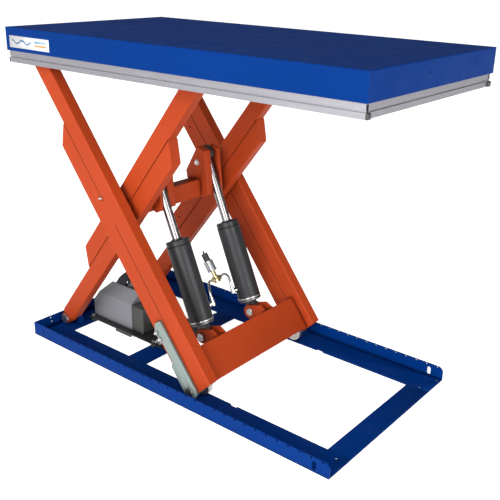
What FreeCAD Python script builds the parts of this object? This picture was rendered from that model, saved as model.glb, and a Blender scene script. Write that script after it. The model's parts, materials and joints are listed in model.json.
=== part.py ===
import FreeCAD, Part
import math
import os

# Scissor lift table, drawn fully raised.  Millimetres, Z up.
# The origin is on the floor under the middle of the platform.
# +X points to the roller end, -Y to the long side that carries the maintenance prop.

os.makedirs("parts", exist_ok=True)
V = FreeCAD.Vector

# ---- driving dimensions ---------------------------------------------------------------------------------
platform_length = 1500.0
platform_width = 780.0
raised_height = 1225.0
closed_height = 225.0
deck_thickness = 6.0
skirt_depth = 81.0
skirt_thickness = 5.0

base_length = platform_length - 47.0
base_width = platform_width - 10.0
base_left_inset = 9.0            # from the platform end to the left end of the base
base_plate = 6.0
base_upright = 54.0              # height of the flat bars that stand round the base
side_plate_width = 120.0
left_plate_width = 99.0
right_plate_width = 85.0

link_length = base_length - 67.0   # pivot to pivot
foot_pivot_inset = 54.0          # from the platform end to the fixed pivots
tube_depth = 66.8
tube_wall = 4.0
outer_arm_width = 47.3
inner_arm_width = 44.4
outer_arm_inset = 54.7           # from the platform edge to the outer face of an outer arm
arm_spacing = 29.1               # between an outer arm and the inner arm beside it

roller_radius = 35.6
roller_width = 22.0
rail_thickness = 5.0             # bars under the deck that the upper rollers run on
barrel_radius = 45.0
rod_radius = 17.0
cylinder_spacing = 141.0         # from the middle plane to a cylinder axis

# ---- clearances -----------------------------------------------------------------------------------------
running = 0.05                   # radial, shaft in bore
slide_gap = 0.5                  # between faces that pass each other
roller_gap = 0.4                 # between a roller and the face it runs along
side_gap = 0.7                   # between a roller and the outer arm beside it

# ---- linkage --------------------------------------------------------------------------------------------
half_length = platform_length / 2
half_width = platform_width / 2
deck_under = raised_height - deck_thickness
pivot_height = base_plate + roller_radius + roller_gap
pivot_below_top = deck_thickness + rail_thickness + roller_radius + roller_gap
top_pivot = raised_height - pivot_below_top
lowered_rise = closed_height - pivot_below_top - pivot_height
raised_rise = top_pivot - pivot_height
link_raised = math.asin(raised_rise / link_length)
link_lowered = math.asin(lowered_rise / link_length)
lift_angle = math.degrees(link_raised - link_lowered)
stagger = math.asin(tube_depth / link_length)
tube_angle = link_raised - stagger
half_span = link_length / 2 * math.cos(stagger)
foot_x = -half_length + foot_pivot_inset
roller_x = foot_x + link_length * math.cos(link_raised)
centre_x = (foot_x + roller_x) / 2
centre_z = (pivot_height + top_pivot) / 2
ca = math.cos(tube_angle)
sa = math.sin(tube_angle)


def on_inner(s, off):
    """Point of the plane XZ given along and across the inner arms, which rise to the right."""
    return (centre_x + s * ca - off * sa, centre_z + s * sa + off * ca)


def on_outer(s, off):
    """Point of the plane XZ given along and across the outer arms, which fall to the right."""
    return (centre_x + s * ca + off * sa, centre_z - s * sa + off * ca)


def box(x0, x1, y0, y1, z0, z1):
    return Part.makeBox(x1 - x0, y1 - y0, z1 - z0, V(x0, y0, z0))


def disc(x, z, radius, y0, y1):
    return Part.makeCylinder(radius, y1 - y0, V(x, y0, z), V(0, 1, 0))


def post(x, y, radius, z0, z1):
    return Part.makeCylinder(radius, z1 - z0, V(x, y, z0))


def slab(points, y0, y1):
    """Outline in the plane XZ pulled out along Y."""
    corners = [V(x, y0, z) for x, z in points]
    return Part.Face(Part.makePolygon(corners + corners[:1])).extrude(V(0, y1 - y0, 0))


def hexagon(x, y, z, across, height, axis):
    """Six-sided head standing on (x, y, z), pulled out along axis."""
    ring = []
    for k in range(6):
        a = math.radians(60 * k)
        u = across / math.sqrt(3) * math.cos(a)
        v = across / math.sqrt(3) * math.sin(a)
        if abs(axis.y) > 0.5:
            ring.append(V(x + u, y, z + v))
        elif abs(axis.x) > 0.5:
            ring.append(V(x, y + u, z + v))
        else:
            ring.append(V(x + u, y + v, z))
    return Part.Face(Part.makePolygon(ring + ring[:1])).extrude(axis * height)


def mirror(shape):
    return shape.mirror(V(0, 0, 0), V(0, 1, 0))


def both(shape):
    return [shape, mirror(shape)]


def edges_along(shape, direction, test=None):
    found = []
    for edge in shape.Edges:
        if len(edge.Vertexes) == 2:
            run = edge.Vertexes[1].Point - edge.Vertexes[0].Point
            if run.Length > 1 and abs(run.normalize().dot(direction)) > 0.999:
                if test is None or test(edge.CenterOfMass):
                    found.append(edge)
    return found


def save(name, shapes):
    items = shapes if isinstance(shapes, list) else [shapes]
    solids = []
    for item in items:
        solids.extend(item.Solids)
    whole = solids[0] if len(solids) == 1 else Part.makeCompound(solids)
    whole.exportStep("parts/" + name + ".step")


# ---- base frame -----------------------------------------------------------------------------------------
base_x0 = -half_length + base_left_inset
base_x1 = base_x0 + base_length
base_y = base_width / 2
side_in = base_y - side_plate_width
upright_thickness = 6.0
hole_pitch = 44.0
hole_radius = 3.5
anchor_radius = 5.5
row_height = base_upright - 4.0                   # middle of the row of holes
hole_start = base_x1 - 24.0
hole_count = int((base_length - 120.0) // hole_pitch)
notch_x = base_x0 + 963.0
notch_length = 28.0
notch_depth = 7.0

side_plate = box(base_x0, base_x1, -base_y, -side_in, 0, base_plate)
side_plate = side_plate.cut(box(notch_x, notch_x + notch_length, -side_in - notch_depth, 0, -1, 9))
anchors_near = [(base_x0 + 49.5, -base_y + 103.6), (base_x1 - 38.3, -base_y + 99.5)]
anchors_far = [(base_x1 - 12.8, base_y - 22.4), (base_x1 - 40.2, base_y - 106.8)]
plate_near = side_plate
for ax, ay in anchors_near:
    plate_near = plate_near.cut(post(ax, ay, anchor_radius, -1, 9))
plate_far = mirror(side_plate)
for ax, ay in anchors_far:
    plate_far = plate_far.cut(post(ax, ay, anchor_radius, -1, 9))
save("base_side_plate_near", plate_near)
save("base_side_plate_far", plate_far)

corner = 22.0
upright = box(base_x0, base_x1, -base_y, -base_y + upright_thickness, base_plate, base_upright)
upright = upright.makeFillet(corner,
                             edges_along(upright, V(0, 1, 0), lambda c: c.x > base_x1 - 1 and c.z > 40))
for k in range(hole_count):
    upright = upright.cut(disc(hole_start - k * hole_pitch, row_height, hole_radius, -base_y - 1,
                               -base_y + 9))
slot_x = base_x1 - 56.0
slot = box(slot_x - 7.5, slot_x + 7.5, -base_y - 1, -base_y + 9, 15.5, 33.2)
slot = slot.fuse([disc(slot_x, z, 7.5, -base_y - 1, -base_y + 9) for z in (15.5, 33.2)])
upright = upright.cut(slot)
upright_near = upright.cut(disc(base_x0 + 62.0, 28.0, 5.0, -base_y - 1, -base_y + 9))
save("base_upright_near", upright_near)
save("base_upright_far", mirror(upright))

wall_y = base_y - upright_thickness
wall = box(base_x0, base_x0 + upright_thickness, -wall_y, wall_y, base_plate, base_upright)
for wy, wz in ((-base_y + 79.4, 46.0), (-base_y + 84.0, 28.0)):
    hole = Part.makeCylinder(4.0, 12, V(base_x0 - 2, wy, wz), V(1, 0, 0))
    wall = wall.cut(hole)
save("base_upright_left", wall)
cross_x0 = base_x0 + 436.0
cross_x1 = cross_x0 + 93.0
spans = ((base_x0, base_x0 + left_plate_width), (cross_x0, cross_x1), (base_x1 - right_plate_width, base_x1))
save("base_cross_plates", [box(x0, x1, -side_in, side_in, 0, base_plate) for x0, x1 in spans])

# Feet: one thick lug inboard of each inner arm, with a pin that reaches out through the arm.
pin_radius = 15.0
hub_radius = 24.0
outer_out = half_width - outer_arm_inset
outer_in = outer_out - outer_arm_width
inner_out = outer_in - arm_spacing
inner_in = inner_out - inner_arm_width
lug_thickness = 22.0
lug_out = inner_in - 2.0
lug = slab([(foot_x - 35, base_plate), (foot_x + 40, base_plate), (foot_x + hub_radius, pivot_height),
            (foot_x - hub_radius, pivot_height)], -lug_out, -lug_out + lug_thickness)
lug = lug.fuse(disc(foot_x, pivot_height, hub_radius, -lug_out, -lug_out + lug_thickness))
lug = lug.cut(disc(foot_x, pivot_height, pin_radius, -lug_out - 1, -lug_out + lug_thickness + 1))
save("foot_lugs", both(lug.removeSplitter()))
foot_pin = disc(foot_x, pivot_height, pin_radius, -inner_out - 4, -lug_out + lug_thickness)
foot_pin = foot_pin.fuse(disc(foot_x, pivot_height, pin_radius + 4, -inner_out - 9, -inner_out - slide_gap))
save("foot_pins", both(foot_pin.removeSplitter()))

# ---- arms -----------------------------------------------------------------------------------------------
boss_radius = 50.0
centre_pin_radius = 25.0
tube_corner = 5.0
end_overlap = 45.0
cut_seam = 370.0                 # where the shorter tubes stop, on the seam and on the free edge
cut_edge = 308.0
half_depth = tube_depth / 2


def tube(s0, s1, off0, y0, y1, falls):
    """Rectangular tube along an arm, rounded along its length, open inside and closed at both ends."""
    solid = box(s0, s1, y0, y1, off0, off0 + tube_depth)
    solid = solid.makeFillet(tube_corner, edges_along(solid, V(1, 0, 0)))
    turn = tube_angle if falls else -tube_angle
    solid.rotate(V(0, 0, 0), V(0, 1, 0), math.degrees(turn))
    solid.translate(V(centre_x, 0, centre_z))
    return solid


def hollow(s0, s1, off0, y0, y1, falls):
    """Room inside a tube, with a drain hole through the wall that faces the other side of the table."""
    room = box(s0, s1, y0 + tube_wall, y1 - tube_wall, off0 + tube_wall, off0 + tube_depth - tube_wall)
    drain = disc(s0 + 30, off0 + tube_depth / 2, 4.0, y1 - tube_wall - 1, y1 + 1)
    room = room.fuse(drain)
    turn = tube_angle if falls else -tube_angle
    room.rotate(V(0, 0, 0), V(0, 1, 0), math.degrees(turn))
    room.translate(V(centre_x, 0, centre_z))
    return room


def knife(place, corners, y0, y1):
    return slab([place(s, off) for s, off in corners], y0 - 1, y1 + 1)


ni0 = -inner_out
ni1 = -inner_in
no0 = -outer_out
no1 = -outer_in
foot = on_inner(-half_span, -half_depth)
top_roller = on_inner(half_span, half_depth)
head = on_outer(-half_span, half_depth)
low_roller = on_outer(half_span, -half_depth)

# Inner arm, lower tube: foot pivot to just past the middle.
low = tube(-half_span - end_overlap, cut_seam + 5, -tube_depth, ni0, ni1, False)
low = low.cut(hollow(-half_span + 60, cut_edge - 12, -tube_depth, ni0, ni1, False))
tip = [(cut_seam, 0), (cut_edge, -tube_depth), (cut_edge, -tube_depth - 9), (cut_seam + 90, -tube_depth - 9),
       (cut_seam + 90, 9), (cut_seam + 8, 9)]
low = low.cut(knife(on_inner, tip, ni0, ni1))
clear_x = foot_x - 200.0
foot_cut = slab([(clear_x, pivot_height - 2), (foot_x - 12, pivot_height - 2),
                 (foot_x + 160, pivot_height + 34), (foot_x + 160, -200), (clear_x, -200)], ni0 - 1, ni1 + 1)
foot_face = box(clear_x, foot_x - 10, ni0 - 1, ni1 + 1, -200, 400)
low = low.cut(foot_cut.fuse(foot_face))
boss_hole = disc(centre_x, centre_z, boss_radius, -outer_out - 9, -inner_in + 9)
low = low.cut([boss_hole, disc(foot[0], foot[1], hub_radius, ni0 - 1, ni1 + 1)])

# Inner arm, upper tube: from before the middle to the top roller.
high = tube(-cut_seam - 5, half_span, 0, ni0, ni1, False)
high = high.fuse(disc(top_roller[0], top_roller[1], half_depth, ni0, ni1))
high = high.cut(hollow(-cut_edge + 12, half_span - 34, 0, ni0, ni1, False))
tail = [(-cut_seam, 0), (-cut_edge, tube_depth), (-cut_edge, tube_depth + 9),
        (-cut_seam - 90, tube_depth + 9),
        (-cut_seam - 90, -9), (-cut_seam - 8, -9)]
high = high.cut(knife(on_inner, tail, ni0, ni1))
high = high.cut([boss_hole, disc(top_roller[0], top_roller[1], hub_radius, ni0 - 1, ni1 + 1)])
save("inner_arm_near", [low, high])
save("inner_arm_far", [mirror(low), mirror(high)])

# Outer arm, upper tube: platform pivot down to the roller end.
long_top = tube(-half_span, half_span + 30, 0, no0, no1, True)
long_top = long_top.fuse(disc(head[0], head[1], half_depth, no0, no1))
long_top = long_top.cut(hollow(-half_span + 34, half_span, 0, no0, no1, True))
end_face = [(half_span + 16, -9), (half_span + 16, 0), (half_span + 6, tube_depth),
            (half_span + 6, tube_depth + 9),
            (half_span + 90, tube_depth + 9), (half_span + 90, -9)]
long_top = long_top.cut(knife(on_outer, end_face, no0, no1))
long_top = long_top.cut([boss_hole, disc(head[0], head[1], hub_radius, no0 - 1, no1 + 1)])

# Outer arm, lower tube: from before the middle to the roller, cut level so that it swings clear of the base.
short = tube(-cut_seam - 5, half_span + end_overlap, -tube_depth, no0, no1, True)
short = short.cut(hollow(-cut_edge + 12, half_span - 60, -tube_depth, no0, no1, True))
lead = [(-cut_seam, 0), (-cut_edge, -tube_depth), (-cut_edge, -tube_depth - 9),
        (-cut_seam - 90, -tube_depth - 9),
        (-cut_seam - 90, 9), (-cut_seam - 8, 9)]
short = short.cut(knife(on_outer, lead, no0, no1))
level = slab([(roller_x - 160, pivot_height + 2), (roller_x + 200, pivot_height + 2), (roller_x + 200, -200),
              (roller_x - 160, -200)], no0 - 1, no1 + 1)
square = knife(on_outer, [(half_span + 16, -tube_depth - 9), (half_span + 16, 9), (half_span + 90, 9),
                          (half_span + 90, -tube_depth - 9)], no0, no1)
short = short.cut(level.fuse(square))
short = short.cut([boss_hole, disc(low_roller[0], low_roller[1], hub_radius, no0 - 1, no1 + 1)])
save("outer_arm_near", [long_top, short])
save("outer_arm_far", [mirror(long_top), mirror(short)])

# Hubs and bosses.
collar_radius = 38.0
inner_hub = disc(centre_x, centre_z, boss_radius, ni0, ni1)
inner_hub = inner_hub.fuse(disc(centre_x, centre_z, collar_radius, -outer_in + slide_gap, ni0))
inner_hub = inner_hub.cut(disc(centre_x, centre_z, centre_pin_radius + running, -outer_out, -inner_in + 9))
foot_hub = disc(foot[0], foot[1], hub_radius, ni0, ni1)
foot_hub = foot_hub.cut(disc(foot[0], foot[1], pin_radius + running, ni0 - 1, ni1 + 1))
save("inner_arm_hubs", both(inner_hub.removeSplitter()) + both(foot_hub))
outer_boss = disc(centre_x, centre_z, boss_radius, no0, no1)
outer_boss = outer_boss.fuse(disc(centre_x, centre_z, centre_pin_radius, no1, -inner_in - 2))
head_hub = disc(head[0], head[1], hub_radius, no0, no1)
head_hub = head_hub.cut(disc(head[0], head[1], pin_radius + running, no0 - 1, no1 + 1))
save("outer_arm_hubs", both(outer_boss.removeSplitter()) + both(head_hub))
nipple_x, nipple_z = on_outer(-62.8, 0.5)
nipple = disc(nipple_x, nipple_z, 5.0, no0 - 4, no0).fuse(disc(nipple_x, nipple_z, 2.6, no0 - 10, no0 - 4))
nipple = nipple.fuse(Part.makeSphere(3.4, V(nipple_x, no0 - 10, nipple_z)))
save("grease_nipples", both(nipple.removeSplitter()))

# Axles, each turned in one piece with its collars.
axle_radius = 12.0
washer_radius = 18.0
roller_out = outer_in - side_gap
roller_in = roller_out - roller_width
ox, oz = low_roller
low_axle = disc(ox, oz, hub_radius, no0, no1)
low_axle = low_axle.fuse(disc(ox, oz, axle_radius, no1, -roller_in + slide_gap))
low_axle = low_axle.fuse(disc(ox, oz, washer_radius, -roller_in + slide_gap, -roller_in + slide_gap + 3))
prop_y1 = no0 - slide_gap
prop_y0 = prop_y1 - 9.5
near_axle = low_axle.fuse(disc(ox, oz, axle_radius, prop_y0 - 4, no0))
near_axle = near_axle.fuse(disc(ox, oz, washer_radius - 2, prop_y0 - 6, prop_y0 - slide_gap))
save("lower_roller_axles", [near_axle.removeSplitter(), mirror(low_axle.removeSplitter())])
tx, tz = top_roller
top_axle = disc(tx, tz, hub_radius, ni0, ni1)
top_axle = top_axle.fuse(disc(tx, tz, washer_radius, -roller_in + slide_gap, ni0))
top_axle = top_axle.fuse(disc(tx, tz, axle_radius, -roller_out - slide_gap, -roller_in + slide_gap))
top_axle = top_axle.fuse(disc(tx, tz, washer_radius, -roller_out - slide_gap - 3, -roller_out - slide_gap))
save("upper_roller_axles", both(top_axle.removeSplitter()))


def roller(x, z):
    wheel = disc(x, z, roller_radius, -roller_out, -roller_in)
    wheel = wheel.makeChamfer(1.2, [e for e in wheel.Edges if len(e.Vertexes) == 1])
    wheel = wheel.cut(disc(x, z, axle_radius + running, -roller_out - 1, -roller_in + 1))
    return wheel


save("lower_roller_near", roller(ox, oz))
save("lower_roller_far", mirror(roller(ox, oz)))
save("upper_roller_near", roller(tx, tz))
save("upper_roller_far", mirror(roller(tx, tz)))

# Lower cross-member of the outer arms, a flat box section open at the arms.
member_s0, member_s1 = half_span - 127.0, half_span + 8.0
member_o0 = roller_radius + 2.8 - half_depth      # just clear of the rollers
member_o1 = member_o0 + 29.0
wall_m = 5.0


def member_box(inset, y0, y1):
    """Section of the cross-member, drawn in by inset all round and pulled out along Y."""
    s0, s1 = member_s0 + inset, member_s1 - inset
    o0, o1 = member_o0 + inset, member_o1 - inset
    return slab([on_outer(*p) for p in ((s0, o0), (s0, o1), (s1, o1), (s1, o0))], y0, y1)


member = member_box(0.0, no1, outer_in)
core = member_box(wall_m, no1 - 1, outer_in + 1)
member = member.cut(core)
save("lower_cross_member", member)

# ---- cylinder pivots ------------------------------------------------------------------------------------
pivot_s = half_span - 153.2       # lower cylinder pivot, along and across the outer arms
pivot_off = -51.0
px, pz = on_outer(pivot_s, pivot_off)
qx, qz = centre_x + 34.4, centre_z + 143.0
reach = math.hypot(qx - px, qz - pz)
ux, uz = (qx - px) / reach, (qz - pz) / reach
yc = cylinder_spacing
eye_half = 13.0
cheek_gap = 15.0
cheek = 10.0
lug_radius = 28.0


def cheek_plate(y0, y1):
    outline = [(pivot_s - lug_radius, pivot_off), (pivot_s - 5, 14), (member_s0 - 6, member_o1 - 8),
               (member_s0, member_o1 - 8), (member_s0, member_o0), (member_s0 + 70, member_o0),
               (pivot_s + lug_radius, pivot_off)]
    plate = slab([on_outer(s, off) for s, off in outline], y0, y1).fuse(disc(px, pz, lug_radius, y0, y1))
    return plate.cut(disc(px, pz, pin_radius, y0 - 1, y1 + 1)).removeSplitter()


near_cheeks = [cheek_plate(y0, y0 + cheek) for y0 in (-yc - cheek_gap - cheek, -yc + cheek_gap)]
save("lower_cylinder_brackets", near_cheeks + [mirror(c) for c in near_cheeks])
low_pin = disc(px, pz, pin_radius, -yc - cheek_gap - cheek - 9, -yc + cheek_gap + cheek + 3)
low_pin = low_pin.makeChamfer(1.5, [e for e in low_pin.Edges if len(e.Vertexes) == 1])
save("lower_cylinder_pins", both(low_pin))

# Upper cross tube of the inner arms with its cylinder brackets.
cross_size = 68.0
cross_turn = math.radians(7.6)
cross_cx, cross_cz = centre_x + 19.0, centre_z + 12.0
cc, cs = math.cos(cross_turn), math.sin(cross_turn)


def cross_square(half, y0, y1):
    pts = []
    for u, w in ((half, half), (-half, half), (-half, -half), (half, -half)):
        pts.append((cross_cx + u * cc - w * cs, cross_cz + u * cs + w * cc))
    return slab(pts, y0, y1)


upper_tube = cross_square(cross_size / 2, -inner_in, inner_in)
cross_full = upper_tube.makeFillet(4.0, edges_along(upper_tube, V(0, 1, 0)))
upper_tube = cross_full.cut(cross_square(cross_size / 2 - 5, -inner_in - 1, inner_in + 1))
save("upper_cross_tube", upper_tube)
bracket_outline = [(34, 176), (70, 164), (90, -8), (60, -22), (-18, 45), (-24, 74)]


def upper_bracket(y0, y1, forward, bore):
    pts = [(centre_x + a + (forward if a > 20 else 0), centre_z + b) for a, b in bracket_outline]
    shape = slab(pts, y0, y1).cut(cross_full)
    if bore:
        shape = shape.cut(disc(qx, qz, 14.0, y0 - 1, y1 + 1))
    return shape


inner_bracket = upper_bracket(-yc + 17.8, -yc + 53.0, 0.0, False)
outer_bracket = upper_bracket(-yc - 30.0, -yc - 17.8, 8.0, True)
save("upper_cylinder_brackets", both(inner_bracket) + both(outer_bracket))
stub = disc(qx, qz, 14.0, -yc - 36.0, -yc - 17.0)
stub = stub.makeChamfer(1.0, [e for e in stub.Edges if len(e.Vertexes) == 1])
save("upper_pin_stubs", both(stub))

# ---- cylinders ------------------------------------------------------------------------------------------
axis = V(ux, 0, uz)
barrel_start = 44.0
barrel_end = 371.0
bore_radius = 38.0


def along(distance, y):
    return V(px + ux * distance, y, pz + uz * distance)


def turned(radius, d0, d1, y=-yc):
    return Part.makeCylinder(radius, d1 - d0, along(d0, y), axis)


def rounded(shape, size):
    return shape.makeFillet(size, [e for e in shape.Edges if len(e.Vertexes) == 1])


base_cap_thickness = 12.0
gland_thickness = 22.0
barrel = turned(barrel_radius, barrel_start + base_cap_thickness, barrel_end - gland_thickness)
barrel = barrel.cut(turned(bore_radius, barrel_start, barrel_end))
save("cylinder_barrels", both(barrel))
base_cap = turned(barrel_radius, barrel_start, barrel_start + base_cap_thickness)
base_cap = base_cap.makeChamfer(2.0, [e for e in base_cap.Edges if len(e.Vertexes) == 1])
neck = box(-20, 20, -yc - eye_half, -yc + eye_half, 0, barrel_start)
neck.rotate(V(0, 0, 0), V(0, 1, 0), math.degrees(math.atan2(ux, uz)))
neck.translate(V(px, 0, pz))
eye = disc(px, pz, 27.0, -yc - eye_half, -yc + eye_half).fuse(neck).fuse(base_cap)
eye = eye.cut(disc(px, pz, pin_radius + running, -yc - 30, -yc + 30))
save("cylinder_bases", both(eye.removeSplitter()))
gland = turned(barrel_radius - 1.0, barrel_end - gland_thickness, barrel_end)
gland = gland.makeChamfer(2.5, [e for e in gland.Edges if len(e.Vertexes) == 1])
gland = gland.cut(turned(rod_radius + running, 0, reach))
save("cylinder_glands", both(gland))

# Where the upper pivot stands when the table is down, and so the stroke.
fall = math.radians(lift_angle)
cf, sf = math.cos(fall), math.sin(fall)
low_x = foot_x + link_length * math.cos(link_lowered)
plx = low_x + (px - roller_x) * cf - (pz - pivot_height) * sf
plz = pivot_height + (px - roller_x) * sf + (pz - pivot_height) * cf
qlx = foot_x + (qx - foot_x) * cf + (qz - pivot_height) * sf
qlz = pivot_height - (qx - foot_x) * sf + (qz - pivot_height) * cf
closed_reach = math.hypot(qlx - plx, qlz - plz)
stroke = reach - closed_reach
piston_start = barrel_start + base_cap_thickness + stroke + 4.0
piston_length = 28.0

rod = turned(rod_radius, piston_start + piston_length, reach - 24.0)
piston = turned(bore_radius - running, piston_start, piston_start + piston_length)
rod_end = disc(qx, qz, 30.0, -yc - 14.0, -yc + 14.0).cut(disc(qx, qz, 14.0, -yc - 20, -yc + 20))
rod_end = rod_end.makeChamfer(1.5, [e for e in rod_end.Edges if len(e.Vertexes) == 1])
rod_end = rod_end.cut(turned(rod_radius, reach - 60.0, reach - 24.0))
eye_pin = disc(qx, qz, 14.0, -yc - 14.0, -yc + 14.0)
save("piston_rods", both(rod.fuse(piston).removeSplitter()))
save("rod_eyes", both(rod_end))
save("rod_eye_pins", both(eye_pin))

# Lowering valve and the pipes that join the two cylinders.
port_drop = barrel_start + 58.0
port = along(port_drop, -yc)
tee_x, tee_z = port.x - 33.5, port.z + 66.7
vx, vz = -0.6, 0.8
valve_axis = V(vx, 0, vz)
tee = V(tee_x, 0, tee_z)


def on_valve(radius, d0, d1):
    return Part.makeCylinder(radius, d1 - d0, tee + valve_axis * d0, valve_axis)


tee_block = on_valve(13.0, -14, 12).fuse(Part.makeCylinder(9.0, 44, V(tee_x, -22, tee_z), V(0, 1, 0)))
tee_block = tee_block.fuse(on_valve(8.0, 12, 33))
save("valve_tee", tee_block.removeSplitter())
save("valve_body", rounded(on_valve(18.0, 33, 76), 1.5))
coil = rounded(on_valve(12.5, 76, 108), 2.0).fuse(on_valve(3.5, 108, 118))
save("valve_coil", coil.removeSplitter())


def pipe(points, radius):
    curve = Part.BSplineCurve()
    curve.interpolate([V(*p) for p in points])
    path = Part.Wire(curve.toShape())
    start = curve.value(curve.FirstParameter)
    tangent = curve.tangent(curve.FirstParameter)[0]
    ring = Part.Wire(Part.makeCircle(radius, start, tangent))
    return path.makePipeShell([ring], True, True)


near_port = V(port.x + 21.0 * uz, -yc + 40.6, port.z - 21.0 * ux)
far_port = V(port.x - 17.0 * uz, yc - 42.3, port.z + 17.0 * ux)
out_near = V(near_port.x - port.x, near_port.y + yc, near_port.z - port.z).normalize()
out_far = V(far_port.x - port.x, far_port.y - yc, far_port.z - port.z).normalize()
fittings = []
starts = []
for at, out in ((near_port, out_near), (far_port, out_far)):
    root = at - out * 0.4
    bend = root + out * 16.0
    nut = Part.makeCylinder(9.0, 12, root, out).fuse(Part.makeCylinder(6.5, 18, root, out))
    heel = bend - axis * 9.0
    elbow = Part.makeCylinder(8.0, 20, heel, axis).fuse(Part.makeCylinder(6.5, 32, heel, axis))
    side = -yc if at.y < 0 else yc
    nut = nut.fuse(elbow).cut(turned(barrel_radius, barrel_start, barrel_end, side))
    fittings.append(nut.removeSplitter())
    starts.append(bend + axis * 23.0)
save("pipe_fittings", fittings)
pipes = []
for start, hand, lift_z in ((starts[0], -1.0, 2.0), (starts[1], 1.0, 6.0)):
    tee_end = V(tee_x, hand * 22.0, tee_z)
    shoulder = start + axis * 15.0
    crown = (tee_end + shoulder) * 0.5 + V(0, hand * 13.0, 12.0)
    route = [tee_end, tee_end + V(1, hand * 18.0, lift_z), crown, shoulder, start]
    pipes.append(pipe(route, 4.5).cut(fittings + [tee_block]))
save("pipes", pipes)

# ---- platform -------------------------------------------------------------------------------------------
skirt_bottom = raised_height - skirt_depth
deck = box(-half_length + skirt_thickness, half_length - skirt_thickness, -half_width + skirt_thickness,
           half_width - skirt_thickness, deck_under, raised_height)
save("deck", deck)
side = box(-half_length, half_length, -half_width, -half_width + skirt_thickness, skirt_bottom, raised_height)
side = side.makeFillet(2.5, [e for e in side.Edges if e.CenterOfMass.y < -half_width + 0.1
                             and e.CenterOfMass.z > skirt_bottom + 0.1])
inner_edge = half_width - skirt_thickness
end = box(half_length - skirt_thickness, half_length, -inner_edge, inner_edge, skirt_bottom, raised_height)
top_edge = edges_along(end, V(0, 1, 0), lambda c: c.x > half_length - 0.1 and c.z > raised_height - 0.1)
end = end.makeFillet(2.5, top_edge)
for dy, dz in ((245.0, -40.0), (-60.0, -36.0)):
    dot = Part.makeCylinder(3.5, 20, V(half_length - 10, dy, raised_height + dz), V(1, 0, 0))
    end = end.cut(dot)
left_end = box(-half_length, -half_length + skirt_thickness, -inner_edge, inner_edge, skirt_bottom,
               raised_height)
top_edge = edges_along(left_end, V(0, 1, 0), lambda c: c.x < -half_length + 0.1 and c.z > raised_height - 0.1)
left_end = left_end.makeFillet(2.5, top_edge)
save("skirts", both(side) + [end, left_end])
rail_under = deck_under - rail_thickness
rail = box(roller_x - 60, half_length - 12, -roller_out + 0.8, -roller_in, rail_under, deck_under)
save("roller_rails", both(rail))
head_lug_thickness = 10.0


def head_lug(y0):
    y1 = y0 + head_lug_thickness
    shape = slab([(head[0] - 28, head[1]), (head[0] + 28, head[1]), (head[0] + 42, deck_under),
                  (head[0] - 42, deck_under)], y0, y1).fuse(disc(head[0], head[1], 28.0, y0, y1))
    return shape.cut(disc(head[0], head[1], pin_radius, y0 - 1, y1 + 1)).removeSplitter()


head_lugs = [head_lug(-outer_out - 2 - head_lug_thickness), head_lug(-outer_in + 2)]
save("head_lugs", head_lugs + [mirror(s) for s in head_lugs])
head_pin_reach = 2.0 + head_lug_thickness + 3.0
head_pin = disc(head[0], head[1], pin_radius, -outer_out - head_pin_reach, -outer_in + head_pin_reach)
save("head_pins", both(head_pin))

# ---- trip frame -----------------------------------------------------------------------------------------
trip_top = skirt_bottom - 1.0
trip_depth = 41.0
trip_bottom = trip_top - trip_depth
trip_out = half_width - 7.0
trip_thick = 18.0
trip_in = trip_out - trip_thick
trip_end = half_length - 7.5
trip_wall = 2.5
trip_travel = 8.0
hanger_radius = 3.0
hanger_x = [-half_length + 130.0, 0.0, half_length - 130.0]


def profile_bar(x0, x1):
    """Hollow aluminium bar with a groove along its outer face, open at both ends."""
    bar = box(x0, x1, -trip_out, -trip_in, trip_bottom, trip_top)
    bar = bar.cut(box(x0, x1, -trip_out + trip_wall, -trip_in - trip_wall,
                      trip_bottom + trip_wall, trip_top - trip_wall))
    rib = box(x0, x1, -trip_out, -trip_out + 6, trip_bottom + 15, trip_bottom + 24)
    bar = bar.fuse(rib).cut(box(x0, x1, -trip_out - 1, -trip_out + 3.5, trip_bottom + 17, trip_bottom + 22))
    return bar.removeSplitter()


long_bar = profile_bar(-trip_end, trip_end)
for hx in hanger_x:
    long_bar = long_bar.cut(post(hx, -trip_in - trip_thick / 2, hanger_radius + 0.6, trip_top - 5,
                                 trip_top + 1))
short_bar = profile_bar(-trip_in, trip_in)
short_bar.rotate(V(0, 0, 0), V(0, 0, 1), 90)
short_bar.translate(V(trip_end - trip_out, 0, 0))
save("trip_bars", both(long_bar) + [short_bar, short_bar.mirror(V(0, 0, 0), V(1, 0, 0))])
cap = box(trip_end, half_length - 0.5, -trip_out, -trip_in, trip_bottom, trip_bottom + 17)
cap = cap.makeFillet(2.0, edges_along(cap, V(0, 0, 1), lambda c: c.x > half_length - 2))
caps = both(cap)
save("trip_corner_caps", caps + [s.mirror(V(0, 0, 0), V(1, 0, 0)) for s in caps])
hangers = []
for hx in hanger_x:
    hy = -trip_in - trip_thick / 2
    bolt = post(hx, hy, hanger_radius, trip_top - trip_wall - 3.4, deck_under)
    bolt = bolt.fuse(post(hx, hy, 4.6, trip_top - trip_wall - 4.4, trip_top - trip_wall - 0.4))
    hangers.extend(both(bolt.removeSplitter()))
save("trip_hangers", hangers)
sensor_x = 300.0
sensor_width = 40.0
sensor = box(sensor_x, sensor_x + sensor_width, -trip_in + 4, -trip_in + 20, deck_under - 62, deck_under)
save("trip_sensors", both(sensor.makeFillet(1.5, edges_along(sensor, V(0, 0, 1)))))
striker_x = sensor_x + sensor_width + 1.0
striker = box(striker_x, striker_x + 4, -trip_in, -trip_in + 18, trip_top - 12, trip_top + 26)
save("trip_strikers", both(striker))

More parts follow.
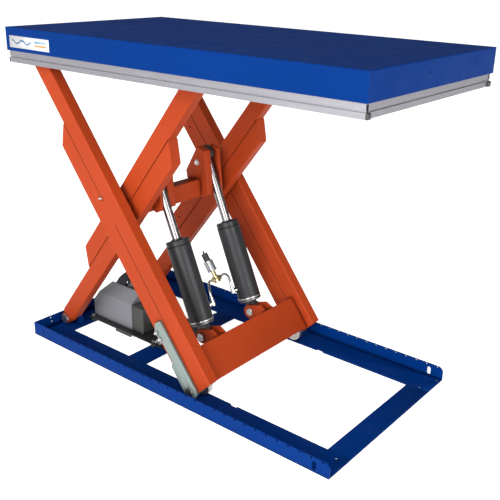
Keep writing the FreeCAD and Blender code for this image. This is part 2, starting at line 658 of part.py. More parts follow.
# ---- maintenance prop -----------------------------------------------------------------------------------
prop_s0 = half_span - 270.0
prop_mid = half_span - 122.0
prop_outline = [(prop_s0, -12), (prop_s0 + 3, -8), (half_span, -half_depth + 29),
                (half_span, -half_depth - 29),
                (prop_mid + 16, -half_depth - 29), (prop_mid, -half_depth - 14),
                (prop_s0 + 72, -half_depth - 14),
                (prop_s0 + 66, -half_depth - 24), (prop_s0 + 24, -half_depth - 24),
                (prop_s0 + 8, -half_depth - 12),
                (prop_s0, -half_depth - 6)]
prop = slab([on_outer(s, o) for s, o in prop_outline], prop_y0, prop_y1)
prop = prop.fuse(disc(ox, oz, 29.0, prop_y0, prop_y1))
prop = prop.cut(disc(ox, oz, axle_radius + running, prop_y0 - 1, prop_y1 + 1))
save("prop_bar", prop.removeSplitter())
prop_bolts = []
for s, o in ((prop_s0 + 32, -half_depth - 16), (prop_s0 + 58, -half_depth - 14)):
    bx, bz = on_outer(s, o)
    head_bolt = hexagon(bx, prop_y0, bz, 13.0, 6.0, V(0, -1, 0))
    head_bolt = head_bolt.fuse(disc(bx, bz, 4.0, prop_y0 - 11, prop_y0 - 6))
    prop_bolts.append(head_bolt.removeSplitter())
save("prop_bolts", prop_bolts)

# ---- hydraulic pack -------------------------------------------------------------------------------------
pack_x0 = base_x0 + left_plate_width - 23.0
pack_x1 = cross_x1 - 3.0
pack_y0 = -160.0
pack_y1 = 100.0
pack_z = 20.0
pack_plate = 5.0
pack_top = pack_z + pack_plate
floor = box(pack_x0, pack_x1, pack_y0, pack_y1, pack_z, pack_top)
floor = floor.fuse(box(pack_x0 + 165, pack_x0 + 255, pack_y0, pack_y0 + 8, pack_z - 11, pack_z))
save("pack_plate", floor.removeSplitter())
feet = []
bolts = []
for fx in (pack_x0 + 12.0, pack_x1 - 75.0):
    for fy in (pack_y0 + 14.0, pack_y1 - 14.0):
        feet.append(post(fx, fy, 10.5, base_plate, pack_z))
        bolts.append(hexagon(fx, fy, pack_top, 13.0, 6.0, V(0, 0, 1)))
save("pack_feet", feet)
save("pack_bolts", bolts)

tank_x0, tank_x1 = pack_x0, pack_x0 + 235.0
block_x1 = tank_x1 + 67.0
tank_y0, tank_y1 = -130.0, -73.0
tank_front, tank_back = 139.0, 176.0
section = [(tank_y0, pack_top), (tank_y0, tank_front), (tank_y1 - 6, tank_back), (tank_y1, tank_back),
           (tank_y1, pack_top)]
ring = [V(tank_x0, y, z) for y, z in section]
tank = Part.Face(Part.makePolygon(ring + ring[:1])).extrude(V(tank_x1 - tank_x0, 0, 0))
tank = tank.cut(slab([(tank_x0 - 1, 93.7), (tank_x0 + 66, 180.5), (tank_x0 - 1, 181)], tank_y0 - 1,
                     tank_y1 + 1))
front_edges = [e for e in tank.Edges if e.CenterOfMass.y < tank_y0 + 0.5 and e.CenterOfMass.z > pack_top + 1]
tank = tank.makeFillet(3.0, front_edges)
save("pack_cover", tank)
save("pump_block", box(tank_x1, block_x1, tank_y0, tank_y1, pack_top, 135.0))

motor_x0 = pack_x0 + 105.0
motor_length = 125.0
motor_x1 = motor_x0 + motor_length
motor_y = 14.0
motor_z = 110.0
motor_r = 80.0
flange_thickness = 18.0
hood_length = 52.0
hood_wall = 3.0
shaft_radius = 8.0
shaft_gap = 0.05
fin_count = 28
vent_count = 12
blade_count = 7


def lengthwise(radius, x0, x1):
    return Part.makeCylinder(radius, x1 - x0, V(x0, motor_y, motor_z), V(1, 0, 0))


def spoke(x0, x1, half, r0, r1, turn):
    """Flat bar that points away from the motor axis, turned about it."""
    shape = box(x0, x1, motor_y - half, motor_y + half, motor_z + r0, motor_z + r1)
    shape.rotate(V(0, motor_y, motor_z), V(1, 0, 0), turn)
    return shape


body = lengthwise(motor_r - 9, motor_x0, motor_x1)
fin_step = 360.0 / fin_count
body = body.fuse([spoke(motor_x0, motor_x1 - 4, 1.6, motor_r - 14, motor_r - 1, fin_step * (k + 0.5))
                  for k in range(fin_count)])
body = body.fuse(box(motor_x0 + 25, motor_x1 - 25, motor_y - 55, motor_y + 55, pack_top, motor_z - 45))
body = body.fuse(lengthwise(motor_r, motor_x1, motor_x1 + flange_thickness))
body = body.cut(lengthwise(shaft_radius + 0.2, motor_x0 - 1, motor_x0 + 20))
save("motor_body", body.removeSplitter())
hood_x0 = motor_x0 - hood_length
hood = lengthwise(motor_r, hood_x0, motor_x0)
hood = hood.cut(lengthwise(motor_r - hood_wall, hood_x0 + hood_wall, motor_x0 + 1))
for k in range(vent_count):
    hood = hood.cut(spoke(hood_x0 - 2, hood_x0 + 4, 4.0, 26.0, 62.0, 360.0 / vent_count * k))
save("motor_fan_cover", hood)
fan_x0 = hood_x0 + 16.0
fan_sleeve = lengthwise(shaft_radius + 0.2 - shaft_gap, fan_x0, motor_x0 + 19)
fan = lengthwise(20, fan_x0, fan_x0 + 26).fuse(fan_sleeve)
for k in range(blade_count):
    fan = fan.fuse(spoke(fan_x0 + 2, fan_x0 + 22, 1.5, 12.0, 66.0, 360.0 / blade_count * k))
save("motor_fan", fan.removeSplitter())
port_x0, port_x1 = pack_x1 - 47.0, pack_x1 - 7.0
port_y0 = -148.0
save("outlet_block", box(port_x0, port_x1, port_y0, -108.0, pack_top, 64.0))
ports = []
for qx0, qz0 in ((port_x0 + 11, 46.0), (port_x1 - 11, 46.0)):
    nut = hexagon(qx0, port_y0, qz0, 15.0, 12.0, V(0, -1, 0))
    nut = nut.fuse(disc(qx0, qz0, 5.5, port_y0 - 22, port_y0 - 12))
    ports.append(nut.removeSplitter())
save("outlet_ports", ports)
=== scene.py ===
import json
import math

import bmesh
import bpy
from mathutils import Matrix, Quaternion, Vector


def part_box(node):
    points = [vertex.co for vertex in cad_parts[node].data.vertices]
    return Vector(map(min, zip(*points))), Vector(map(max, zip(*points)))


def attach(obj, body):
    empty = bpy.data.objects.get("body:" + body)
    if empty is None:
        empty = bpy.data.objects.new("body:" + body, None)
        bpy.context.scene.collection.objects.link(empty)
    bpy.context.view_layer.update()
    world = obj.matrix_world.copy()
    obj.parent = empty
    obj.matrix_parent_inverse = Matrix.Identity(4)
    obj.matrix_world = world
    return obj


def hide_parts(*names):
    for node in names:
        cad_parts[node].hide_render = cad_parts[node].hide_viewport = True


# Looks of the scissor lift table. Metres, in the frame of the CAD model: Z up, and -Y is the side
# nearest the camera.

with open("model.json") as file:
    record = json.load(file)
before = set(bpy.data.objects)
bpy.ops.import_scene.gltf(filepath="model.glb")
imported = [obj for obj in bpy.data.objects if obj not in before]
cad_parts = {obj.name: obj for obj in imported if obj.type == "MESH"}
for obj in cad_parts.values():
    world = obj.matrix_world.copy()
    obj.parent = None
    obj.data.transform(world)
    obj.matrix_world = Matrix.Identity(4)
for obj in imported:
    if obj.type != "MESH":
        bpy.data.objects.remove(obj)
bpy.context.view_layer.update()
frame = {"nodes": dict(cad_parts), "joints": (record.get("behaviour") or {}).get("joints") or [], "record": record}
nodes = frame["nodes"]
record = frame["record"]
body_of_node = {n: b for b, members in record["behaviour"]["bodies"].items() for n in members}
slot_of_node = {s["node"]: s["material_slot"] for s in record["subparts"]}
scene = bpy.context.scene
mm = 0.001
SIDES = ((-1, "near"), (1, "far"))
REMAP_SOCKETS = ("Value", "From Min", "From Max", "To Min", "To Max")
SEAM_WIDTH = 14 * mm


# ---- materials ----
class Nodes:
    """A small helper that adds nodes to one material and wires them."""

    def __init__(self, name):
        self.material = bpy.data.materials.new(name)
        self.material.use_nodes = True
        self.tree = self.material.node_tree
        self.shader = self.tree.nodes["Principled BSDF"]
        self.place = self.add("ShaderNodeTexCoord").outputs["Object"]

    def add(self, kind, **settings):
        node = self.tree.nodes.new(kind)
        for key, value in settings.items():
            setattr(node, key, value)
        return node

    def link(self, source, target):
        self.tree.links.new(source, target)
        return target

    def put(self, socket, value):
        if isinstance(value, bpy.types.NodeSocket):
            self.link(value, socket)
        else:
            socket.default_value = value

    def stretched(self, scale):
        node = self.add("ShaderNodeMapping")
        self.link(self.place, node.inputs["Vector"])
        node.inputs["Scale"].default_value = scale
        return node.outputs["Vector"]

    def noise(self, scale, detail=3.0, rough=0.55, where=None):
        node = self.add("ShaderNodeTexNoise")
        self.link(where or self.place, node.inputs["Vector"])
        node.inputs["Scale"].default_value = scale
        node.inputs["Detail"].default_value = detail
        node.inputs["Roughness"].default_value = rough
        return node.outputs["Fac"]

    def remap(self, value, low, high, to_low=0.0, to_high=1.0):
        node = self.add("ShaderNodeMapRange", clamp=True)
        for key, v in zip(REMAP_SOCKETS, (value, low, high, to_low, to_high)):
            self.put(node.inputs[key], v)
        return node.outputs["Result"]

    def maths(self, operation, a, b=0.0):
        node = self.add("ShaderNodeMath", operation=operation)
        self.put(node.inputs[0], a)
        self.put(node.inputs[1], b)
        return node.outputs[0]

    def mix(self, factor, a, b):
        node = self.add("ShaderNodeMix", data_type="RGBA")
        self.put(node.inputs[0], factor)
        self.put(node.inputs[6], a)
        self.put(node.inputs[7], b)
        return node.outputs[2]

    def bump(self, height, distance, strength=1.0, normal=None):
        node = self.add("ShaderNodeBump")
        node.inputs["Strength"].default_value = strength
        node.inputs["Distance"].default_value = distance
        self.link(height, node.inputs["Height"])
        if normal is not None:
            self.link(normal, node.inputs["Normal"])
        return node.outputs["Normal"]

    def edges(self, radius):
        """Near 1 on convex and concave edges, 0 on open faces."""
        rounded = self.add("ShaderNodeBevel", samples=4)
        rounded.inputs["Radius"].default_value = radius
        flat = self.add("ShaderNodeNewGeometry").outputs["Normal"]
        dot = self.add("ShaderNodeVectorMath", operation="DOT_PRODUCT")
        self.link(rounded.outputs["Normal"], dot.inputs[0])
        self.link(flat, dot.inputs[1])
        return self.remap(dot.outputs["Value"], 0.995, 0.9), rounded.outputs["Normal"]

    def crease(self, distance):
        """Occlusion mask for painted shade: near 1 deep in seams and corners narrower than distance, 0 in the
        open.
        """
        shade_node = self.add("ShaderNodeAmbientOcclusion", samples=4, only_local=False)
        shade_node.inputs["Distance"].default_value = distance
        return self.remap(shade_node.outputs["AO"], 0.90, 0.50)

    def upward(self):
        """1 on faces that look up, 0 on the rest."""
        split = self.add("ShaderNodeSeparateXYZ")
        self.link(self.add("ShaderNodeNewGeometry").outputs["Normal"], split.inputs[0])
        return self.remap(split.outputs["Z"], 0.55, 0.95)


def rgba(colour):
    return (*colour, 1.0)


def shade(colour, factor):
    return rgba([min(1.0, c * factor) for c in colour])


def paint(name, colour, roughness, worn, gloss=0.07, peel=0.00006):
    """Powder coat: orange-peel skin, slow tone drift, dust on top, scuffs, rubbed edges and painted shade in
    seams.
    """
    n = Nodes(name)
    drift = n.remap(n.noise(2.6, 4.0), 0.3, 0.7)
    tone = n.mix(drift, shade(colour, 0.93), shade(colour, 1.06))
    grain = n.remap(n.noise(420.0, 2.0), 0.35, 0.65)
    tone = n.mix(n.maths("MULTIPLY", grain, 0.10), tone, shade(colour, 1.5))
    dust = n.maths("MULTIPLY", n.upward(), n.remap(n.noise(9.0, 6.0, 0.65), 0.48, 0.75))
    tone = n.mix(n.maths("MULTIPLY", dust, 0.012), tone, rgba((0.33, 0.31, 0.28)))
    scuff = n.remap(n.noise(30.0, 3.0, 0.5, n.stretched((9.0, 1.0, 1.3))), 0.715, 0.75)
    patch = n.remap(n.noise(4.0, 2.0), 0.55, 0.68)
    scuff = n.maths("MULTIPLY", scuff, patch)
    tone = n.mix(n.maths("MULTIPLY", scuff, 0.35), tone, rgba(worn))
    edge, soft_normal = n.edges(1.1 * mm)
    chips = n.remap(n.noise(60.0, 5.0, 0.7), 0.52, 0.62)
    rubbed = n.maths("MULTIPLY", n.maths("MULTIPLY", edge, chips), 0.45)
    tone = n.mix(rubbed, tone, rgba(worn))
    # Painted shade: an occlusion mask darkens the paint towards 0.22 of its colour in seams, creases and contacts,
    # made patchy by noise.
    seam = n.crease(SEAM_WIDTH)
    shade_patchiness = n.remap(n.noise(35.0, 3.0), 0.2, 0.6, 0.70, 0.95)
    painted_seam_shade = n.maths("MULTIPLY", seam, shade_patchiness)
    tone = n.mix(painted_seam_shade, tone, shade(colour, 0.22))
    n.link(tone, n.shader.inputs["Base Color"])
    rough = n.remap(n.noise(14.0, 4.0), 0.3, 0.7, roughness - 0.05, roughness + 0.07)
    rough = n.maths("ADD", rough, n.maths("MULTIPLY", dust, 0.12))
    n.link(rough, n.shader.inputs["Roughness"])
    skin = n.bump(n.noise(650.0, 2.0), peel, 0.6, soft_normal)
    skin = n.bump(scuff, 0.00004, 0.5, skin)
    n.link(skin, n.shader.inputs["Normal"])
    n.shader.inputs["Specular IOR Level"].default_value = gloss
    return n.material


def metal(name, colour, roughness, streak=(1.0, 1.0, 1.0), contrast=0.12,
          tarnish=(0.25, 0.23, 0.21), depth=0.00002):
    """Bare or plated metal with machining lines along one direction and faint tarnish."""
    n = Nodes(name)
    lines = n.noise(260.0, 3.0, 0.6, n.stretched(streak))
    share = n.remap(lines, 0.3, 0.7)
    tone = n.mix(share, shade(colour, 1.0 - contrast), shade(colour, 1.0 + contrast))
    stain = n.remap(n.noise(22.0, 5.0, 0.6), 0.55, 0.78)
    tone = n.mix(n.maths("MULTIPLY", stain, 0.30), tone, rgba(tarnish))
    edge, soft_normal = n.edges(0.8 * mm)
    tone = n.mix(n.maths("MULTIPLY", edge, 0.35), tone, shade(colour, 1.35))
    n.link(tone, n.shader.inputs["Base Color"])
    n.shader.inputs["Metallic"].default_value = 1.0
    rough = n.remap(lines, 0.25, 0.75, roughness * 0.8, roughness * 1.25)
    rough = n.maths("ADD", rough, n.maths("MULTIPLY", stain, 0.12))
    n.link(rough, n.shader.inputs["Roughness"])
    n.link(n.bump(lines, depth, 0.5, soft_normal), n.shader.inputs["Normal"])
    return n.material


def moulded(name, colour, roughness, grain=900.0, depth=0.00005, specks=(0.35, 0.34, 0.33)):
    """Moulded plastic or rubber: fine mould grain, mottled gloss and a trace of dust."""
    n = Nodes(name)
    tone = n.mix(n.remap(n.noise(12.0, 4.0), 0.3, 0.7), shade(colour, 0.8), shade(colour, 1.25))
    dust = n.maths("MULTIPLY", n.upward(), n.remap(n.noise(40.0, 5.0, 0.7), 0.5, 0.75))
    tone = n.mix(n.maths("MULTIPLY", dust, 0.12), tone, rgba(specks))
    n.link(tone, n.shader.inputs["Base Color"])
    rough = n.remap(n.noise(25.0, 4.0), 0.3, 0.7, roughness - 0.07, roughness + 0.08)
    n.link(rough, n.shader.inputs["Roughness"])
    soft = n.edges(0.8 * mm)[1]
    n.link(n.bump(n.noise(grain, 2.0), depth, 0.6, soft), n.shader.inputs["Normal"])
    return n.material


blue = (0.0, 0.0175, 0.108)
rubbed_blue = (0.05, 0.08, 0.15)
orange = (0.240, 0.0285, 0.0062)
looks = {
    "base_paint": paint("blue_base_paint", blue, 0.46, rubbed_blue, gloss=0.03),
    "platform_paint": paint("blue_platform_paint", blue, 0.46, rubbed_blue, gloss=0.03),
    "arm_paint": paint("orange_arm_paint", orange, 0.46, (0.13, 0.025, 0.012)),
    "cylinder_paint": paint("charcoal_paint", (0.0105, 0.011, 0.0125), 0.42,
                            (0.05, 0.05, 0.05), gloss=0.25),
    "pin_steel": metal("zinc_plated_steel", (0.52, 0.51, 0.49), 0.34),
    "roller_steel": metal("turned_steel", (0.40, 0.39, 0.38), 0.38),
    "rod_chrome": metal("hard_chrome", (0.22, 0.205, 0.205), 0.24, (0.3, 0.3, 1.0),
                        contrast=0.05, tarnish=(0.16, 0.15, 0.15), depth=0.000002),
    "rod_eye_steel": metal("dark_steel", (0.10, 0.10, 0.10), 0.42),
    "eye_pin_steel": metal("ground_steel", (0.48, 0.48, 0.47), 0.30),
    "fitting_steel": metal("bright_fittings", (0.52, 0.51, 0.49), 0.27, contrast=0.04),
    "valve_brass": metal("brass", (0.50, 0.40, 0.22), 0.30),
    "valve_body": metal("grey_valve_metal", (0.36, 0.36, 0.37), 0.42),
    "coil_plastic": moulded("black_coil_plastic", (0.020, 0.020, 0.021), 0.48),
    "trip_aluminium": metal("extruded_aluminium", (0.27, 0.262, 0.285), 0.46, (0.02, 1.0, 9.0),
                            contrast=0.06, tarnish=(0.36, 0.36, 0.38)),
    "cap_plastic": moulded("black_cap_plastic", (0.014, 0.014, 0.015), 0.5),
    "prop_zinc": paint("light_grey_paint", (0.130, 0.160, 0.150), 0.42,
                       (0.09, 0.10, 0.10), gloss=0.3),
    "pack_black": paint("black_machine_paint", (0.011, 0.012, 0.014), 0.36,
                        (0.06, 0.06, 0.06), gloss=0.4),
    "foot_rubber": moulded("black_rubber", (0.018, 0.018, 0.018), 0.72, grain=500.0, depth=0.00008),
    "cover_grey": paint("grey_cover_paint", (0.135, 0.138, 0.150), 0.44,
                        (0.10, 0.10, 0.11), gloss=0.3),
    "block_grey": paint("dark_grey_cast", (0.042, 0.043, 0.041), 0.55,
                        (0.10, 0.10, 0.10), gloss=0.25, peel=0.00015),
    "fan_plastic": moulded("black_fan_plastic", (0.02, 0.02, 0.02), 0.5),
}


def dress(obj, slot_name):
    obj.data.materials.clear()
    obj.data.materials.append(looks[slot_name])


for node_name, obj in nodes.items():
    dress(obj, slot_of_node[node_name])


# ---- softened copies of the sheet-metal and tube nodes ----
SAME_POINT = 2e-6
FLAT_ANGLE = math.radians(0.6)
EDGE_ANGLE = math.radians(40.0)


def soften(node_name, width):
    """A copy of a node with its sharp edges really rounded, which stands for the node."""
    mesh = nodes[node_name].data.copy()
    work = bmesh.new()
    work.from_mesh(mesh)
    bmesh.ops.remove_doubles(work, verts=work.verts, dist=SAME_POINT)
    bmesh.ops.dissolve_limit(work, angle_limit=FLAT_ANGLE, verts=work.verts, edges=work.edges)
    for face in work.faces:
        face.smooth = True
    work.to_mesh(mesh)
    work.free()
    piece = bpy.data.objects.new(node_name + "_formed", mesh)
    scene.collection.objects.link(piece)
    bevel = piece.modifiers.new("rounded_edges", "BEVEL")
    bevel.limit_method = "ANGLE"
    bevel.angle_limit = EDGE_ANGLE
    bevel.width = width
    bevel.segments = 2
    bevel.harden_normals = True
    bevel.use_clamp_overlap = True
    dress(piece, slot_of_node[node_name])
    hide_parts(node_name)
    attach(piece, body_of_node[node_name])


for node_name, width in (
    ("base_side_plate_near", 0.8), ("base_side_plate_far", 0.8), ("base_cross_plates", 0.8),
    ("base_upright_left", 0.8), ("lower_cross_member", 1.0),
    ("upper_cylinder_brackets", 1.2),
    ("lower_cylinder_brackets", 1.2), ("pump_block", 2.0), ("outlet_block", 1.2),
    ("pack_plate", 1.0), ("foot_lugs", 1.0), ("head_lugs", 1.0), ("prop_bar", 1.2),
    ("trip_corner_caps", 0.8),
):
    soften(node_name, width * mm)


# ---- small pieces that the frame doesn't hold ----
def finish_piece(name, work, slot, body, smooth=True):
    """Turns a bmesh into an object with the material of its slot, parented to its body."""
    mesh = bpy.data.meshes.new(name)
    work.to_mesh(mesh)
    work.free()
    for polygon in mesh.polygons:
        polygon.use_smooth = smooth
    piece = bpy.data.objects.new(name, mesh)
    scene.collection.objects.link(piece)
    mesh.materials.append(looks[slot])
    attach(piece, body)
    return piece


def join_rings(work, first, second):
    """Quads between two rings of the same count."""
    for i in range(len(first)):
        j = (i + 1) % len(first)
        work.faces.new((first[i], first[j], second[j], second[i]))


def bevelled_plate(name, low, high, slot, body, bevel_width):
    """Thin plate between two corners, with its edges rounded."""
    work = bmesh.new()
    bmesh.ops.create_cube(work, size=1.0)
    centre = (Vector(low) + Vector(high)) / 2
    size = Vector(high) - Vector(low)
    for vertex in work.verts:
        vertex.co = centre + Vector(a * b for a, b in zip(vertex.co, size))
    bmesh.ops.bevel(work, geom=work.edges[:], offset=bevel_width, segments=3, affect="EDGES",
                    clamp_overlap=True)
    return finish_piece(name, work, slot, body)


def weld(name, points, radius, slot, body):
    """Round weld bead along straight runs, with ripples along the seam."""
    work = bmesh.new()
    sides = 8
    for start, end in zip(points, points[1:]):
        start, end = Vector(start), Vector(end)
        run = end - start
        count = max(4, int(run.length / (0.55 * radius)))
        across = run.orthogonal().normalized()
        other = run.cross(across).normalized()
        rings = []
        for k in range(count + 1):
            middle_point = start + run * (k / count)
            swell = radius * (1.0 if k % 3 else 0.80)
            if k in (0, count):
                swell = radius * 0.35
            ring = []
            for i in range(sides):
                turn = 2 * math.pi * i / sides
                out = across * math.cos(turn) + other * math.sin(turn)
                ring.append(work.verts.new(middle_point + out * swell))
            rings.append(ring)
        for first, second in zip(rings, rings[1:]):
            join_rings(work, first, second)
        work.faces.new(rings[0][::-1])
        work.faces.new(rings[-1])
    bmesh.ops.recalc_face_normals(work, faces=work.faces)
    return finish_piece(name, work, slot, body)


def band(name, start, direction, radius, length, thickness, slot, body):
    """Ring round a cylinder, with a rounded section."""
    work = bmesh.new()
    across = direction.orthogonal().normalized()
    other = direction.cross(across).normalized()
    section = [(-0.5, 0.0), (-0.5, 0.6), (-0.25, 1.0), (0.25, 1.0), (0.5, 0.6), (0.5, 0.0)]
    turns = 64
    rings = []
    for k in range(turns):
        turn = 2 * math.pi * k / turns
        out = across * math.cos(turn) + other * math.sin(turn)
        rings.append([
            work.verts.new(start + direction * (a * length) + out * (radius + h * thickness))
            for a, h in section
        ])
    for k in range(turns):
        join_rings(work, rings[k], rings[(k + 1) % turns])
    bmesh.ops.recalc_face_normals(work, faces=work.faces)
    return finish_piece(name, work, slot, body)


STICKER_X, STICKER_Z = 21 * mm, 12 * mm
STICKER_LENGTH, STICKER_HEIGHT = 225 * mm, 41 * mm
skirt_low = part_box("skirts")[0]


def sticker_look():
    """White vinyl with a plain wave and two bars, and no lettering."""
    n = Nodes("blank_sticker")
    split = n.add("ShaderNodeSeparateXYZ")
    n.link(n.place, split.inputs[0])
    x0, z0 = skirt_low.x + STICKER_X, skirt_low.z + STICKER_Z
    u = n.remap(split.outputs["X"], x0, x0 + STICKER_LENGTH)
    v = n.remap(split.outputs["Z"], z0, z0 + STICKER_HEIGHT)
    wave = n.maths("MULTIPLY", n.maths("SINE", n.maths("MULTIPLY", u, 24.0)), 0.14)
    line = n.maths("ABSOLUTE", n.maths("SUBTRACT", n.maths("SUBTRACT", v, 0.52), wave))
    line = n.remap(line, 0.085, 0.06)

    def between(value, low, low_full, high_full, high):
        return n.maths("MULTIPLY", n.remap(value, low, low_full), n.remap(value, high, high_full))

    line = n.maths("MULTIPLY", line, between(u, 0.07, 0.08, 0.55, 0.56))
    bars = between(u, 0.64, 0.645, 0.925, 0.93)
    upper = n.maths("MULTIPLY", bars, between(v, 0.56, 0.58, 0.72, 0.74))
    lower = n.maths("MULTIPLY", bars, between(v, 0.28, 0.30, 0.44, 0.46))
    aged = n.remap(n.noise(30.0, 4.0), 0.3, 0.7)
    tone = n.mix(aged, rgba((0.36, 0.37, 0.38)), rgba((0.42, 0.42, 0.42)))
    tone = n.mix(line, tone, rgba((0.03, 0.10, 0.19)))
    tone = n.mix(upper, tone, rgba((0.04, 0.12, 0.20)))
    tone = n.mix(lower, tone, rgba((0.33, 0.14, 0.03)))
    n.link(tone, n.shader.inputs["Base Color"])
    n.link(n.remap(aged, 0.0, 1.0, 0.28, 0.40), n.shader.inputs["Roughness"])
    n.link(n.bump(n.noise(300.0, 2.0), 0.00002, 0.4), n.shader.inputs["Normal"])
    return n.material


# Weld beads round the two ends of the cross tube.
tube_low, tube_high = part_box("upper_cross_tube")
tube_middle = (tube_low + tube_high) / 2
bead_half = 35 * mm
lean = math.radians(7.6)
for side, word in SIDES:
    y = side * (tube_high.y - 0.6 * mm)
    loop = []
    for a, b in ((1, 1), (-1, 1), (-1, -1), (1, -1), (1, 1)):
        dx, dz = a * bead_half, b * bead_half
        loop.append((tube_middle.x + dx * math.cos(lean) - dz * math.sin(lean), y,
                     tube_middle.z + dx * math.sin(lean) + dz * math.cos(lean)))
    weld("cross_tube_weld_" + word, loop, 3.2 * mm, "arm_paint", "inner_arms")

# Rings at both ends of the cylinder barrels: name, distance up from the foot pin, radius, length
# and thickness in millimetres, and slot.
RINGS = (
    ("barrel_base_ring_", 57.5, 44.8, 5.0, 1.6, "eye_pin_steel"),
    ("barrel_gland_ring_", 347.5, 44.8, 4.0, 0.9, "cylinder_paint"),
    ("rod_wiper_", 372.5, 17.2, 6.0, 5.0, "cap_plastic"),
)
BARREL_WIDTH = 90 * mm
joint_named = {joint["name"]: joint for joint in frame["joints"]}
stroke_way = Vector(joint_named["rod_stroke"]["axis"]).normalized()
tilt_point = Vector(joint_named["cylinder_tilt"]["pos_m"])
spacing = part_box("cylinder_bases")[1].y - BARREL_WIDTH / 2
for side, word in SIDES:
    foot_point = Vector((tilt_point.x, side * spacing, tilt_point.z))
    for ring, along, radius, length, thickness, slot in RINGS:
        band(ring + word, foot_point + stroke_way * along * mm, stroke_way, radius * mm,
             length * mm, thickness * mm, slot, "cylinders")

# Blank rating plate on the motor.
PLATE_TILT = math.radians(38)
PLATE_HALF = Vector((24 * mm, 15 * mm, 0.5 * mm))
PLATE_ALONG, PLATE_LIFT = 45 * mm, 0.2 * mm
motor_low, motor_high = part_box("motor_body")
plate = bevelled_plate("motor_blank_plate", -PLATE_HALF, PLATE_HALF, "trip_aluminium", "base",
                       0.3 * mm)
motor_radius = (motor_high.y - motor_low.y) / 2
motor_axis = Vector((0, motor_low.y + motor_radius, motor_high.z - motor_radius))
outward = Vector((0, -math.sin(PLATE_TILT), math.cos(PLATE_TILT)))
place = motor_axis + outward * (motor_radius + PLATE_LIFT)
plate.data.transform(Matrix.Translation((motor_low.x + PLATE_ALONG, place.y, place.z))
                     @ Matrix.Rotation(PLATE_TILT, 4, "X"))


def hex_screw(name, centre, across, height, direction, slot, body):
    """Hexagon head with a chamfered crown on a washer, pointing along -Y or +Y."""
    corners = across * 1.1547
    work = bmesh.new()
    washer = ((0.62, 0.0), (0.62, 0.14))
    head = ((0.50, 0.15), (0.50, 0.92), (0.44, 1.0))
    for profile, count in ((washer, 32), (head, 6)):
        rings = []
        for radius, level in profile:
            ring = []
            for i in range(count):
                turn = 2 * math.pi * i / count
                ring.append(work.verts.new((centre[0] + corners * radius * math.cos(turn),
                                            centre[1] + direction * height * level,
                                            centre[2] + corners * radius * math.sin(turn))))
            rings.append(ring)
        for first, second in zip(rings, rings[1:]):
            join_rings(work, first, second)
        work.faces.new(rings[0])
        work.faces.new(rings[-1])
    bmesh.ops.recalc_face_normals(work, faces=work.faces)
    return finish_piece(name, work, slot, body, smooth=False)


# Lock screws of the upper cylinder brackets.
SCREW_ACROSS, SCREW_HEIGHT, SCREW_OUT = 15 * mm, 7 * mm, 88 * mm
bracket_low, bracket_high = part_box("upper_cylinder_brackets")
screw_x, screw_z = bracket_low.x + 59 * mm, bracket_high.z - 62 * mm
for side, word in SIDES:
    hex_screw("bracket_lock_screw_" + word, (screw_x, side * SCREW_OUT, screw_z), SCREW_ACROSS,
              SCREW_HEIGHT, -side, "pin_steel", "inner_arms")

STICKER_PROUD, STICKER_SUNK = 0.12 * mm, 0.4 * mm
sticker_low = skirt_low + Vector((STICKER_X, -STICKER_PROUD, STICKER_Z))
sticker_high = skirt_low + Vector((STICKER_X + STICKER_LENGTH, STICKER_SUNK,
                                   STICKER_Z + STICKER_HEIGHT))
sticker = bevelled_plate("blank_sticker", sticker_low, sticker_high, "platform_paint", "platform",
                         0.05 * mm)
sticker.data.materials[0] = sticker_look()

# ---- camera, light and floor ----
azimuth, elevation, roll = math.radians(38.59), math.radians(21.10), math.radians(1.26)
back = Vector((math.sin(azimuth) * math.cos(elevation),
               -math.cos(azimuth) * math.cos(elevation), math.sin(elevation)))
camera_data = bpy.data.cameras.new("camera")
camera_data.sensor_width = 36.0
camera_data.lens = 55.055
camera_data.clip_end = 200.0
camera = bpy.data.objects.new("camera", camera_data)
scene.collection.objects.link(camera)
camera.location = (1.70767, -2.04062, 1.48084)
camera.rotation_mode = "QUATERNION"
camera.rotation_quaternion = (-back).to_track_quat("-Z", "Y") @ Quaternion((0, 0, 1), roll)
scene.camera = camera


middle = Vector((0.0, 0.0, 0.6))


def area(name, place, size, power):
    """Round studio lamp aimed at the middle of the table."""
    data = bpy.data.lights.new(name, "AREA")
    data.shape = "DISK"
    data.size = size
    data.energy = power
    lamp = bpy.data.objects.new(name, data)
    scene.collection.objects.link(lamp)
    lamp.location = place
    lamp.rotation_mode = "QUATERNION"
    lamp.rotation_quaternion = (middle - Vector(place)).to_track_quat("-Z", "Y")


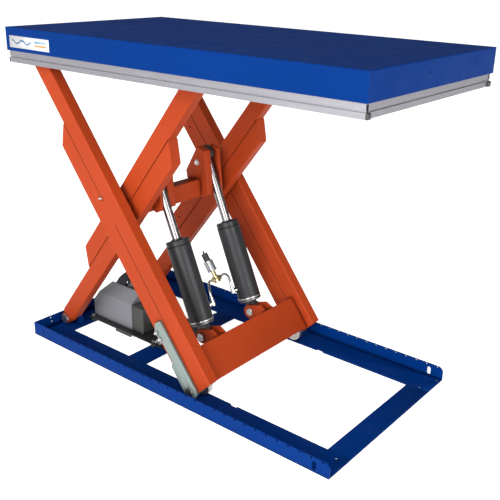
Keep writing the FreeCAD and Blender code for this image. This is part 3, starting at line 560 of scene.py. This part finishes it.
area("key", (1.5, -6.6, 2.7), 6.0, 850.0)
area("fill", (5.6, -0.8, 1.5), 3.0, 250.0)
area("overhead", (0.0, 0.0, 6.2), 5.0, 75.0)

# The world is brighter towards -Y, and plain white to camera rays.
world = bpy.data.worlds.new("studio")
world.use_nodes = True
sky = world.node_tree
glow = sky.nodes["Background"]
where = sky.nodes.new("ShaderNodeTexCoord")
split = sky.nodes.new("ShaderNodeSeparateXYZ")
spread = sky.nodes.new("ShaderNodeMapRange")
direct = sky.nodes.new("ShaderNodeLightPath")
backdrop = sky.nodes.new("ShaderNodeMix")
sky.links.new(where.outputs["Generated"], split.inputs[0])
sky.links.new(split.outputs["Y"], spread.inputs["Value"])
for key, value in (("From Min", -0.7), ("From Max", 0.6), ("To Min", 0.90), ("To Max", 0.18)):
    spread.inputs[key].default_value = value
sky.links.new(direct.outputs["Is Camera Ray"], backdrop.inputs[0])
sky.links.new(spread.outputs["Result"], backdrop.inputs[2])
backdrop.inputs[3].default_value = 1.0
sky.links.new(backdrop.outputs[0], glow.inputs["Strength"])
glow.inputs["Color"].default_value = (1.0, 1.0, 1.0, 1.0)
scene.world = world

floor_mesh = bpy.data.meshes.new("floor")
reach = 60.0
corners = [(-reach, -reach, 0), (reach, -reach, 0), (reach, reach, 0), (-reach, reach, 0)]
floor_mesh.from_pydata(corners, [], [(0, 1, 2, 3)])
floor = bpy.data.objects.new("floor", floor_mesh)
floor.location.z = -0.0006
scene.collection.objects.link(floor)
ground = Nodes("pale_floor")
ground.shader.inputs["Roughness"].default_value = 0.9
ground.shader.inputs["Emission Color"].default_value = (1.0, 1.0, 1.0, 1.0)
ground.shader.inputs["Emission Strength"].default_value = 0.70
ground.shader.inputs["Specular IOR Level"].default_value = 0.1
patches = ground.remap(ground.noise(1.2), 0.3, 0.7)
pale = ground.mix(patches, rgba((0.78, 0.78, 0.78)), rgba((0.82, 0.82, 0.82)))
ground.link(pale, ground.shader.inputs["Base Color"])
floor.data.materials.append(ground.material)
scene.view_settings.view_transform = "Standard"
